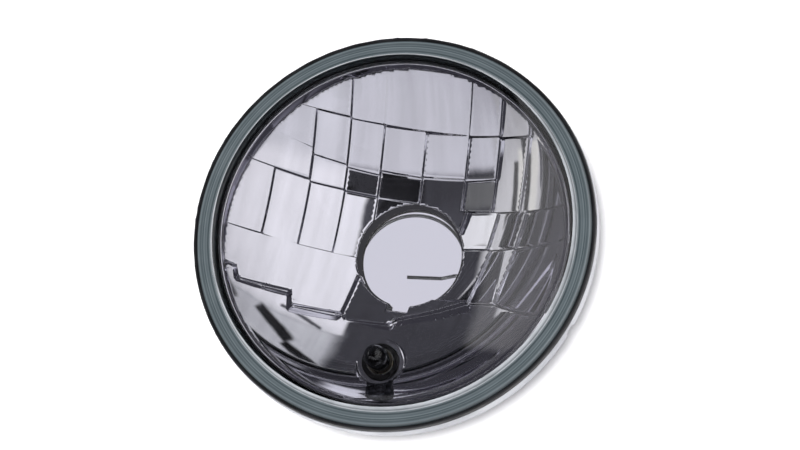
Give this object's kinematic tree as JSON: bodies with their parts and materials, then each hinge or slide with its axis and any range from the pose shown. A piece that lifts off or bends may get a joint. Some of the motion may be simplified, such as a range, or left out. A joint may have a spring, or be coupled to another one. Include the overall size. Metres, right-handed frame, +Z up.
{
  "type": "headlight insert",
  "caption": "Round motorcycle headlight insert with clear glass lens, facetted mirror reflector, keyed rear bulb seat with swinging wire clip, and a parking lamp in the lower bowl.",
  "frame": {"origin": "on the optical axis at the front face of the reflector's rim", "axes": "+Y along the optical axis towards the rear, the lens faces -Y; +Z up as fitted, with the parking lamp below; +X to the lamp's right as seen from the front"},
  "size_m": [0.147, 0.0633, 0.147],
  "materials": {
    "lens_glass": "clear polished pressed glass",
    "sealant": "satin black bead",
    "mirror_coat": "vacuum-coated mirror",
    "plated_steel": "zinc plated",
    "screw_steel": "zinc plated",
    "spring_wire": "bright drawn wire",
    "grommet_rubber": "matt",
    "socket_metal": "tinned",
    "base_plastic": "moulded",
    "fibre_disc": "pressed fibre",
    "contact_brass": "bright",
    "blade_brass": "tinned",
    "bulb_glass": "clear blown glass",
    "stem_glass": "clear",
    "cap_brass": "nickel plated",
    "solder": "dull",
    "lead_wire": "bright",
    "filament_wire": "dark tungsten"
  },
  "bodies": {
    "insert": {"lens": "lens_glass", "lens_sealant": "sealant", "reflector": "mirror_coat", "seat_ring": "plated_steel", "ring_screws": "screw_steel", "pilot_grommet": "grommet_rubber", "pilot_socket": "socket_metal", "pilot_base": "base_plastic", "pilot_disc": "fibre_disc", "pilot_plunger": "contact_brass", "pilot_spring": "spring_wire", "pilot_live_blade": "blade_brass", "pilot_earth_blade": "blade_brass", "pilot_bulb_glass": "bulb_glass", "pilot_bulb_stem": "stem_glass", "pilot_bulb_cap": "cap_brass", "pilot_bulb_tip": "solder", "pilot_bulb_leads": "lead_wire", "pilot_bulb_filament": "filament_wire"},
    "clip": {"bulb_clip": "spring_wire"}
  },
  "joints": [
    {"name": "bulb_clip_swing", "type": "hinge", "parent": "insert", "child": "clip", "pos_m": [0.029, 0.0437, 0.0031], "axis": [0, 0, -1], "range_deg": [0, 110]}
  ]
}
